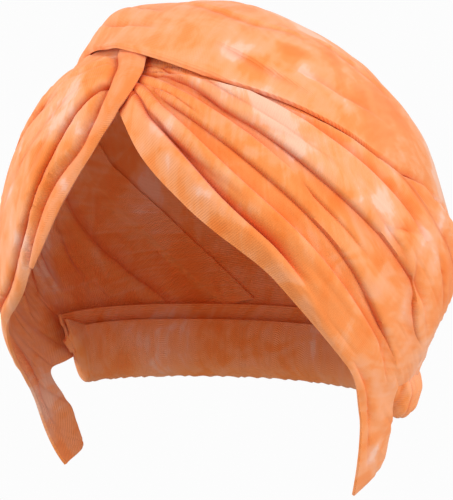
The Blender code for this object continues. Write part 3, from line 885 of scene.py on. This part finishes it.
# %% Wrinkle a side panel
WRINKLE_HEIGHT, LINE_HEIGHT = 0.35, 0.45
MM_PER_DEGREE = 1.6
SOFT_SIZE, FINE_SIZE, LINE_SIZE = (4, 45), (2, 30), (3.1, 55)
FINE_SHARE = 0.6
TWIST_CALM = 40
NAPE_FOLDS = 1.5
NapeRow = namedtuple("NapeRow", "level share")
NAPE_PULL = (
    NapeRow(-34, 1),
    NapeRow(-22, 0.8),
    NapeRow(-2, 0.3),
    NapeRow(16, 0),
)
NAPE_FROM = (96, 112)
NAPE_MM_PER_DEGREE = 1.55
NAPE_WIDE, NAPE_THIN = (7, 60, 17), (3.4, 40, 4)


def fine_wrinkles(angle, along_mm, distance, seed):
    """Shallow wrinkles along the pull of a panel: soft ones, and thin raised lines between them."""
    across_mm = angle * MM_PER_DEGREE
    soft = wrinkles(across_mm, along_mm, *SOFT_SIZE, seed)
    soft = soft + FINE_SHARE * wrinkles(across_mm, along_mm, *FINE_SIZE, seed + 1)
    lines = 0.5 - np.abs(wrinkles(across_mm, along_mm, *LINE_SIZE, seed + 2))
    height = WRINKLE_HEIGHT * soft + LINE_HEIGHT * np.clip(lines, 0, 1) ** 2 * 4
    return height * np.clip(distance / TWIST_CALM, 0, 1)


def nape_pull(direction):
    """Upright folds where the cloth is drawn in towards the roll at the nape, in mm."""
    level = np.degrees(np.arcsin(np.clip(direction[..., 2], -1, 1)))
    around = np.degrees(np.arctan2(direction[..., 0], -direction[..., 1]))
    share = smooth(level, [row.level for row in NAPE_PULL], [row.share for row in NAPE_PULL])
    share = share * smooth(np.abs(around), NAPE_FROM, (0, 1))
    across, up = around * NAPE_MM_PER_DEGREE, level * MM_PER_DEGREE
    folds = wrinkles(across, up, *NAPE_WIDE) + 0.5 * wrinkles(across, up, *NAPE_THIN)
    return NAPE_FOLDS * share * folds


print("shallow wrinkles in mm:", WRINKLE_HEIGHT)

# %% [markdown]
# ## Placing a side panel's cloth
# A panel follows its own folds, but it has to pass under the crown wrap and the strap, so a ceiling
# holds it down there. Where it runs under the wrap its folds aren't moved sideways any more, and the
# columns of the sheet lie closer together beside each pleat line, where the cloth turns sharply.

# %% Place the points of a side panel
CEILING_FROM, CEILING_SLOPE = 1.2, 1.8
MOVE_FROM, MOVE_REACH = 3, 6
CALM_EDGE = 1.5
DEEPEST = -1.9
CLOSER = 0.8


def fan_points(folds, creases, side, across, along, seed):
    """Outer points of a side panel, its map of the cloth in mm, and its mask of painted shade."""
    rows = np.arange(len(folds))
    ends = smooth(np.clip(across, 0, rows[-1]), rows, [fold.end_at for fold in folds])
    roots = fan_roots(folds, side, across)
    distance = roots[:, None] + (ends - roots)[:, None] * along[None, :]
    angle = fan_angles(folds, side, across, distance)
    direction = from_twist(side, distance, angle)
    body, depth, moved, painted_shade = fold_panel(folds, creases, side, across, distance, angle)
    across_mm = np.radians(angle) * arc(distance)
    along_mm = np.radians(distance) * SHEET_RADIUS
    outside = np.radians(crown_edge_from_twist(side, distance) - angle) * arc(distance)
    under_crown = CROWN_LIFT - CLEAR + CEILING_SLOPE * np.clip(outside - CEILING_FROM, 0, None)
    ceiling = np.minimum(under_crown, under_strap(direction))
    height = np.minimum(WALL + body, ceiling) - depth
    inner = np.clip(across[:, None] * CALM_EDGE, 0, 1)
    height += inner * fine_wrinkles(angle, along_mm, distance, seed) + nape_pull(direction)
    height = np.minimum(np.clip(height, WALL + DEEPEST, None), ceiling)
    # Shade is painted beside the strap's edges, where it lies over the panel.
    painted_shade = np.clip(painted_shade + strap_shade(direction), 0, 1)
    room = np.clip((outside - MOVE_FROM) / MOVE_REACH, 0, 1)
    points = placed(from_twist(side, distance, angle + np.degrees(moved * room / arc(distance))), height)
    return points, np.stack([across_mm, along_mm], axis=-1), {"painted_shade": painted_shade}


def closer_at_folds(folds, columns):
    """Where a panel's columns lie: closer together beside each pleat line."""
    t = np.linspace(0, 1, columns, endpoint=False)
    spread = t - CLOSER * np.sin(2 * np.pi * t) / (2 * np.pi)
    return np.append((np.arange(len(folds) + 1)[:, None] + spread).ravel(), len(folds) + 1)


print("columns between two pleats lie closer by:", CLOSER)

# %% [markdown]
# ## The two side panels
# The near and the far panel are made from the same functions. They aren't mirror images: the far
# one lies under the strap at the front and stands higher over the temple.

# %% Make the side panels
PANEL_COLUMNS, PANEL_ROWS = 18, 216
TWIST_CLOSER = 1.3


def side_panel(name, folds, creases, side, seed):
    across = closer_at_folds(folds, PANEL_COLUMNS)
    along = np.linspace(0, 1, PANEL_ROWS) ** TWIST_CLOSER
    panel = sheet(name, *fan_points(folds, creases, side, across, along, seed))
    print(name, "triangles:", triangles(panel))
    return panel


left_panel = side_panel("left_panel", LEFT_FOLDS, LEFT_CREASES, 1, 5)
right_panel = side_panel("right_panel", RIGHT_FOLDS, RIGHT_CREASES, -1, 8)

# %% [markdown]
# ## The crown wrap
# The wrap is one smooth piece, pulled from the twist to the nape. A few long soft folds and thin
# creases run along it, it bulges over the knot, and its edge is turned under, so it stands a little
# proud of the pleats beside it. The bulges give the hat its raised outline above the forehead.

# %% Shape the crown wrap
CrownFold = namedtuple("CrownFold", "begins ends side_begin side_end depth width")
CROWN_FOLDS = (
    CrownFold(58, 165, -18, 34, 1.8, 7),
    CrownFold(60, 175, 12, 50, 1.4, 6),
    CrownFold(66, 180, -42, 2, 1.4, 8),
    CrownFold(74, 205, -58, -30, 1.6, 8),
    CrownFold(120, 214, 14, 6, 1.2, 7),
)
CROWN_CREASES = (
    Crease("top soft fold", (74, -3), (74, 12), (88, 31), 1.5, 4.0, 1.8, 0.6, 1.5),
    Crease("second soft fold", (61, 12), (60.5, 23), (63, 40), 1.3, 3.4, 1.6, 0.5, 1.5),
    Crease("third soft fold", (66, 30), (74, 44), (96, 58), 1.3, 1.8, 4.0, 0.5, 1.5),
    Crease("fourth soft fold", (84, 16), (100, 36), (126, 52), 1.2, 4.4, 2.2, 0.4, 1.5),
    Crease("knot fold", (73, -26), (65, -14), (61, -1), 1.8, 1.8, 3.6, 0.8, 1.5),
    Crease("second knot fold", (76, -22), (74, -13), (68, -3), 1.4, 1.8, 3.6, 0.6, 1.5),
    Crease("far soft fold", (70, -30), (84, -44), (110, -54), 1.4, 3.6, 1.8, 0.5, 1.5),
    Crease("rear soft fold", (118, 10), (150, 24), (186, 26), 1.3, 4.0, 2.4, 0.4, 1.5),
    Crease("rear far fold", (122, -22), (152, -34), (188, -30), 1.3, 2.4, 4.0, 0.4, 1.5),
)
CrownBump = namedtuple("CrownBump", "tilt side height tilt_spread side_spread at_edge")
CROWN_BUMPS = (
    CrownBump(51, -6, 3.2, 11, 17, True),
    CrownBump(69, 0, 3.9, 14, 90, False),
    CrownBump(73, -20, 4.4, 10, 9, False),
)
LIP_HEIGHT, LIP_ROUND, LIP_REACH = 1.5, 2.4, 9.0
CROWN_CREASE_SHADE = 0.4
CROWN_SINK = 0.4
CROWN_WIDE, CROWN_THIN = (6, 50, 21), (3, 34, 5)
CROWN_NAPE = 0.7


def crown_lip(tilt, side):
    """How far the turned edge stands up, from nothing at the edge to a rounded rim, in mm."""
    out = np.radians(crown_side(tilt, side) - np.abs(side)) * SHEET_RADIUS
    ahead = np.radians(tilt - CROWN_EDGE[0].tilt) * SHEET_RADIUS
    from_edge = np.minimum(np.clip(out, 0, None), np.clip(ahead, 0, None))
    rim = 1 - np.clip(1 - from_edge / LIP_ROUND, 0, 1) ** 2
    return LIP_HEIGHT * rim * np.exp(-np.clip(from_edge - LIP_ROUND, 0, None) / LIP_REACH)


def crown_height(tilt, side, direction):
    """The outer height of the crown wrap over the head form, and the shade painted in its creases as a mask.
    """
    edge = np.maximum(crown_side(tilt, side), 1)
    reach = np.clip(1 - (np.abs(side) / edge) ** 4, 0, 1)
    height = np.full_like(tilt, CROWN_LIFT + WALL)
    for bump in CROWN_BUMPS:
        over = (tilt - bump.tilt) / bump.tilt_spread
        aside = (side - bump.side) / bump.side_spread
        height += bump.height * np.exp(-(over**2 + aside**2)) * np.where(bump.at_edge, 1, reach)
    for fold in CROWN_FOLDS:
        t = (tilt - fold.begins) / (fold.ends - fold.begins)
        line = fold.side_begin + (fold.side_end - fold.side_begin) * np.clip(t, 0, 1)
        offset = np.radians(side - line) * SHEET_RADIUS
        along = np.clip(4 * t, 0, 1) * np.clip(4 * (1 - t), 0, 1)
        height += fold.depth * along * (0.5 - np.exp(-((offset / fold.width) ** 2))) * reach
    painted_shade = np.zeros_like(tilt)
    for row in CROWN_CREASES:
        offset, along = beside(direction, in_ear_plane(*crease_line(row)))
        share = reach * np.clip(along * 3, 0, 1) * np.clip((1 - along) * 3, 0, 1)
        cut, _ = fold_profile(offset, row, 1.0)
        height -= row.depth * share * cut
        # Shade is painted into each crease of the crown.
        painted_shade += CROWN_CREASE_SHADE * share * np.clip(cut, 0, 1) ** 2
    height += 0.3 * wrinkles(side, tilt, *CROWN_WIDE) * reach
    height += 0.25 * wrinkles(side * MM_PER_DEGREE, tilt * MM_PER_DEGREE, *CROWN_THIN) * reach
    height = np.maximum(height, CROWN_LIFT + WALL - CROWN_SINK * reach) + crown_lip(tilt, side)
    return height + CROWN_NAPE * nape_pull(direction) * reach, np.clip(painted_shade, 0, 1)


print("height of the turned edge in mm:", LIP_HEIGHT)

# %% [markdown]
# ## Making the crown wrap
# The sheet runs from edge to edge across the head and from the twist to the nape along it. Its rows
# are spaced by the length of the two edges, so that they don't crowd where the edges turn, and lie
# closer together at the front, where the knot bulges.

# %% Make the crown wrap
CROWN_COLUMNS, CROWN_ROWS = 200, 230
FRONT_CLOSER, EDGES_CLOSER = 1.15, 0.28


def crown_tilts(along):
    """The tilts of the crown wrap's rows, which are evenly spaced along its two edges."""
    tilt = np.linspace(CROWN_EDGE[0].tilt, CROWN_EDGE[-1].tilt, 2 * EDGE_STEPS)
    left = np.diff(in_ear_plane(tilt, crown_side(tilt, 1)), axis=0)
    right = np.diff(in_ear_plane(tilt, -crown_side(tilt, -1)), axis=0)
    length = np.append(0, (np.linalg.norm(left, axis=-1) + np.linalg.norm(right, axis=-1)).cumsum())
    return np.interp(along * length[-1], length, tilt)


def crown_points(across, along):
    across, tilt = np.broadcast_arrays(across[:, None], crown_tilts(along))
    side = crown_side(tilt, across) * across
    direction = in_ear_plane(crown_tilt(tilt, side), side)
    height, painted_shade = crown_height(tilt, side, direction)
    points = placed(direction, height)
    cloth = np.stack([np.radians(side) * SHEET_RADIUS, np.radians(tilt) * SHEET_RADIUS], axis=-1)
    return points, cloth, {"painted_shade": painted_shade}


def closer_to_edges(columns):
    """Columns from -1 to 1 that lie closer together at both ends."""
    t = np.linspace(-1, 1, columns)
    return (1 - EDGES_CLOSER) * t + EDGES_CLOSER * np.sin(t * np.pi / 2)


crown_across = closer_to_edges(CROWN_COLUMNS)
crown_along = np.linspace(0, 1, CROWN_ROWS) ** FRONT_CLOSER
crown = sheet("crown_panel", *crown_points(crown_across, crown_along))
print("crown wrap triangles:", triangles(crown))

# %% [markdown]
# ## The strap
# The strap is a band folded to a double layer, so its edges are round and its face arches a little.
# It is painted a slightly deeper tone than the panels all over, as shade.

# %% Shape the strap
STRAP_COLUMNS, STRAP_ROWS = 30, 200
STRAP_PAINTED_SHADE = 0.14


def strap_points(across, along):
    middle, half, lift = strap_line(along)
    sideways = np.cross(np.gradient(middle, axis=0), middle)
    sideways /= np.linalg.norm(sideways, axis=-1, keepdims=True)
    direction = middle + across[:, None, None] * (half / SHEET_RADIUS)[:, None] * sideways
    direction /= np.linalg.norm(direction, axis=-1, keepdims=True)
    points = placed(direction, WALL + lift + STRAP_ARCH * (1 - across[:, None] ** 2))
    cloth = np.stack([across[:, None] * half, steps_along(points, 1)], axis=-1)
    # The whole strap carries a little painted shade.
    return points, cloth, {"painted_shade": np.full_like(cloth[..., 0], STRAP_PAINTED_SHADE)}


strap_across = np.linspace(-1, 1, STRAP_COLUMNS)
strap = sheet("strap_band", *strap_points(strap_across, np.linspace(0, 1, STRAP_ROWS)))
print("strap triangles:", triangles(strap))

# %% [markdown]
# ## The roll at the nape
# At the back the hem is drawn in on a cord of stitches, so the cloth gathers into a roll with many
# small ruffles. The section of the roll goes from inside the panels round to the neck.

# %% Shape the gathered roll
GatherRow = namedtuple("GatherRow", "level height")
GATHER_SECTION = (
    GatherRow(-28.6, 0.7),
    GatherRow(-33.0, 0.7),
    GatherRow(-34.4, 0.9),
    GatherRow(-35.4, 2.4),
    GatherRow(-36.6, 5.8),
    GatherRow(-38.8, 8.0),
    GatherRow(-41.4, 7.8),
    GatherRow(-43.8, 5.2),
    GatherRow(-45.0, 1.2),
    GatherRow(-44.2, -2.6),
    GatherRow(-41.4, -4.4),
    GatherRow(-37.4, -4.6),
    GatherRow(-33.4, -4.2),
)
GATHER_FROM = 92
GATHER_TAPER = (94, 102)
GATHER_NARROW = (92, 101)
GATHER_END = 0.4
GATHER_RUFFLES = 44
RUFFLE_DEPTH = 0.9
UNEVEN = 0.5
UNEVEN_SEED, RUFFLE_WAVES = 3, (2.2, 6, 12)
GATHER_COLUMNS, GATHER_ROWS = 72, 420


def gather_points(across, along):
    rows = np.arange(len(GATHER_SECTION))
    level, height = smooth(across * rows[-1], rows, [tuple(row) for row in GATHER_SECTION]).T
    around = GATHER_FROM + (360 - 2 * GATHER_FROM) * along
    from_front = np.minimum(around, 360 - around)
    swell = smooth(from_front, GATHER_TAPER, (-0.15, 1.0))
    narrow = smooth(from_front, GATHER_NARROW, (GATHER_END, 1.0))
    level = level[0] + (level - level[0])[:, None] * narrow
    around = np.broadcast_to(around, level.shape)
    bulge = np.clip(height, 0, None)[:, None] * swell + np.clip(height, None, 0)[:, None]
    turn = GATHER_RUFFLES * along + UNEVEN * wrinkles(along * 60, along, 1, 1, UNEVEN_SEED)
    share = np.clip(height - 1, 0, 3)[:, None] / 3 * np.clip(swell, 0, 1)
    ruffle = np.cos(2 * np.pi * turn)[None, :] + UNEVEN * wrinkles(around, level, *RUFFLE_WAVES)
    points = placed(toward(around, level), bulge + RUFFLE_DEPTH * ruffle * share)
    cloth = np.stack([steps_along(points, 1), steps_along(points, 0)], axis=-1)
    # The hollows between the ruffles are painted darker, as shade.
    return points, cloth, {"painted_shade": np.clip(-0.5 * ruffle * share, 0, 1)}


roll = sheet("nape_roll", *gather_points(np.linspace(0, 1, GATHER_COLUMNS), np.linspace(0, 1, GATHER_ROWS)))
print("roll triangles:", triangles(roll))

# %% [markdown]
# ## Ribbed jersey as a node group
# The knit has ribs a little under a millimetre apart, across the pull of each pleat. A wave on the
# sheet's own map makes them, and a fine noise breaks them up as yarn does.

# %% Build the rib group
RIB_PITCH, RIB_SHARE = 0.95, 0.35
YARN_SCALE, YARN_SHARE = 14.0, 0.5


def new_group(name, inputs, outputs):
    group = bpy.data.node_groups.new(name, "ShaderNodeTree")
    for label, kind, value in inputs:
        socket = group.interface.new_socket(label, in_out="INPUT", socket_type=kind)
        if value is not None:
            socket.default_value = value
    for label, kind in outputs:
        group.interface.new_socket(label, in_out="OUTPUT", socket_type=kind)
    return group, group.nodes.new("NodeGroupInput"), group.nodes.new("NodeGroupOutput")


def maths(tree, operation, first, second=None, third=None):
    node = tree.nodes.new("ShaderNodeMath")
    node.operation = operation
    for socket, value in zip(node.inputs, (first, second, third)):
        if value is None:
            continue
        if isinstance(value, (int, float)):
            socket.default_value = value
        else:
            tree.links.new(value, socket)
    return node.outputs[0]


def rib_group():
    group, given, made = new_group(
        "jersey_ribs", [("Cloth", "NodeSocketVector", None), ("Pitch", "NodeSocketFloat", RIB_PITCH)],
        [("Height", "NodeSocketFloat")])
    split = group.nodes.new("ShaderNodeSeparateXYZ")
    group.links.new(given.outputs["Cloth"], split.inputs[0])
    turns = maths(group, "MULTIPLY", split.outputs["Y"], 2 * np.pi * 10)
    phase = maths(group, "DIVIDE", turns, given.outputs["Pitch"])
    rib = maths(group, "SINE", phase)
    yarn = group.nodes.new("ShaderNodeTexNoise")
    yarn.inputs["Scale"].default_value = YARN_SCALE
    yarn.inputs["Detail"].default_value = 2.0
    group.links.new(given.outputs["Cloth"], yarn.inputs["Vector"])
    soft = maths(group, "MULTIPLY", rib, RIB_SHARE)
    rough = maths(group, "MULTIPLY", yarn.outputs["Fac"], YARN_SHARE)
    group.links.new(maths(group, "ADD", soft, rough), made.inputs["Height"])
    return group


ribs = rib_group()
print("ribs per centimetre:", round(10 / RIB_PITCH, 1))

# %% [markdown]
# ## Tie-dye and painted crease shade as a node group
# Orange, peach and pale pink run into each other. The clouds come with each sheet as a mask. Noise on
# the object's own coordinates breaks up their edges, and finer noise on the cloth's own map adds
# streaks along the pull, as dye creeps along stretched yarn. Creases are painted a deeper red-orange,
# as shade, from a second mask.

# %% Build the dye and painted shade group
ORANGE = (0.96, 0.255, 0.045, 1.0)
AMBER = (0.97, 0.325, 0.090, 1.0)
PEACH = (0.98, 0.385, 0.150, 1.0)
BLUSH = (0.98, 0.44, 0.225, 1.0)
PALE = (0.98, 0.58, 0.42, 1.0)
CREASE_SHADE_COLOUR = (0.70, 0.09, 0.010, 1.0)
DYE_STEPS = ((0.12, ORANGE), (0.33, AMBER), (0.40, PEACH), (0.54, BLUSH), (0.64, PALE), (0.95, PALE))
CREASE_SHADE_SHARE = 0.9
TAKEN_SHARE, NOISE_SHARE, STREAK_SHARE, DARKER = 0.31, 0.56, 0.34, -0.065
NOISE_SCALE = 62.0
STREAK_STRETCH = (3.0, 0.55, 1.0)


def ramp(tree, fac, stops):
    node = tree.nodes.new("ShaderNodeValToRGB")
    while len(node.color_ramp.elements) < len(stops):
        node.color_ramp.elements.new(0.5)
    for element, (place, colour) in zip(node.color_ramp.elements, stops):
        element.position = place
        element.color = colour
    tree.links.new(fac, node.inputs[0])
    return node.outputs["Color"]


def noise(tree, place, scale, distortion):
    node = tree.nodes.new("ShaderNodeTexNoise")
    node.inputs["Scale"].default_value = scale
    node.inputs["Detail"].default_value = 3.0
    node.inputs["Distortion"].default_value = distortion
    tree.links.new(place, node.inputs["Vector"])
    return node.outputs["Fac"]


def dye_group():
    group, given, made = new_group(
        "tie_dye_and_crease_shade",
        [("Place", "NodeSocketVector", None), ("Cloth", "NodeSocketVector", None),
         ("Taken", "NodeSocketFloat", 0.0), ("Painted Shade", "NodeSocketFloat", 0.0)],
        [("Colour", "NodeSocketColor")])
    stretch = group.nodes.new("ShaderNodeMapping")
    stretch.inputs["Scale"].default_value = STREAK_STRETCH
    group.links.new(given.outputs["Cloth"], stretch.inputs["Vector"])
    clouds = noise(group, given.outputs["Place"], NOISE_SCALE, 1.0)
    streaks = noise(group, stretch.outputs["Vector"], 1.0, 0.0)
    shade = maths(group, "MULTIPLY_ADD", given.outputs["Taken"], TAKEN_SHARE, DARKER)
    shade = maths(group, "ADD", shade, maths(group, "MULTIPLY", clouds, NOISE_SHARE))
    shade = maths(group, "ADD", shade, maths(group, "MULTIPLY", streaks, STREAK_SHARE))
    colour = ramp(group, shade, DYE_STEPS)
    # Painted shade: the crease mask mixes in a deep red-orange.
    painted_shade_mix = group.nodes.new("ShaderNodeMix")
    painted_shade_mix.data_type = "RGBA"
    group.links.new(maths(group, "MULTIPLY", given.outputs["Painted Shade"], CREASE_SHADE_SHARE), painted_shade_mix.inputs["Factor"])
    group.links.new(colour, painted_shade_mix.inputs["A"])
    painted_shade_mix.inputs["B"].default_value = CREASE_SHADE_COLOUR
    group.links.new(painted_shade_mix.outputs["Result"], made.inputs["Colour"])
    return group


dye = dye_group()
print("dye colours:", len(DYE_STEPS))

# %% [markdown]
# ## The jersey's material
# Cotton and modal jersey is soft and matte, with a faint glow along its edges from loose fibres.
# So the shader has high roughness and a little sheen, and the ribs feed a bump.

# %% Make the jersey material
JERSEY_FINISH = {
    "Roughness": 0.85,
    "Sheen Weight": 0.25,
    "Sheen Roughness": 0.5,
    "Specular IOR Level": 0.2,
}
BUMP_STRENGTH, BUMP_DEPTH = 0.5, 0.3


def jersey_material(name):
    material = bpy.data.materials.new(name)
    material.use_nodes = True
    tree = material.node_tree
    shader = tree.nodes["Principled BSDF"]
    for finish, value in JERSEY_FINISH.items():
        shader.inputs[finish].default_value = value
    place = tree.nodes.new("ShaderNodeTexCoord")
    cloth = tree.nodes.new("ShaderNodeUVMap")
    cloth.uv_map = "cloth"
    colours = tree.nodes.new("ShaderNodeGroup")
    colours.node_tree = dye
    tree.links.new(place.outputs["Object"], colours.inputs["Place"])
    tree.links.new(cloth.outputs["UV"], colours.inputs["Cloth"])
    # The second mask carries the shade painted into creases.
    for mask, socket in (("dye", "Taken"), ("painted_shade", "Painted Shade")):
        given = tree.nodes.new("ShaderNodeAttribute")
        given.attribute_name = mask
        tree.links.new(given.outputs["Fac"], colours.inputs[socket])
    tree.links.new(colours.outputs["Colour"], shader.inputs["Base Color"])
    knit = tree.nodes.new("ShaderNodeGroup")
    knit.node_tree = ribs
    tree.links.new(cloth.outputs["UV"], knit.inputs["Cloth"])
    bump = tree.nodes.new("ShaderNodeBump")
    bump.inputs["Strength"].default_value = BUMP_STRENGTH
    bump.inputs["Distance"].default_value = BUMP_DEPTH * MM
    tree.links.new(knit.outputs["Height"], bump.inputs["Height"])
    tree.links.new(bump.outputs["Normal"], shader.inputs["Normal"])
    return material


jersey = jersey_material("tie_dye_jersey")
print("material:", jersey.name)

# %% [markdown]
# ## Dress the part
# Each sheet takes the place of one solid of the part and moves with it, and its area is printed
# beside the flat size it was cut to. Its area counts the face that shows, and half of all faces are
# the lining side of the wall.

# %% Put the sheets in place of the solids
Panel = namedtuple("Panel", "piece node width length share held rests_on")
PANELS = (
    Panel(crown, "crown_wrap", 0.240, 0.215, 0.86, "stretched", ("left_fan", "right_fan")),
    Panel(left_panel, "left_fan", 0.180, 0.215, 0.80, "gathered", ("crown_wrap",)),
    Panel(right_panel, "right_fan", 0.175, 0.215, 0.80, "gathered", ("crown_wrap",)),
    Panel(strap, "knot_strap", 0.012, 0.115, 0.82, "stretched", ("left_fan", "right_fan")),
    Panel(roll, "nape_gather", 0.064, 0.270, 0.95, "gathered", ("left_fan", "right_fan")),
)


def dress(panel):
    panel.piece.data.materials.append(jersey)
    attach(panel.piece, "root")
    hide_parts(panel.node)
    area = sum(face.area for face in panel.piece.data.polygons) / 2
    print(panel.piece.name, "cloth in square cm:", round(area * 1e4, 1),
          "flat:", round(panel.width * panel.length * panel.share * 1e4, 1))


for panel in PANELS:
    dress(panel)

# %% [markdown]
# ## Measure the hat
# The dressed hat has to keep the size of the solids, so the solids' box is written down.

# %% Write the solids' box and finish
print("solids in mm:", [round(side / MM, 1) for side in cad_high - cad_low])
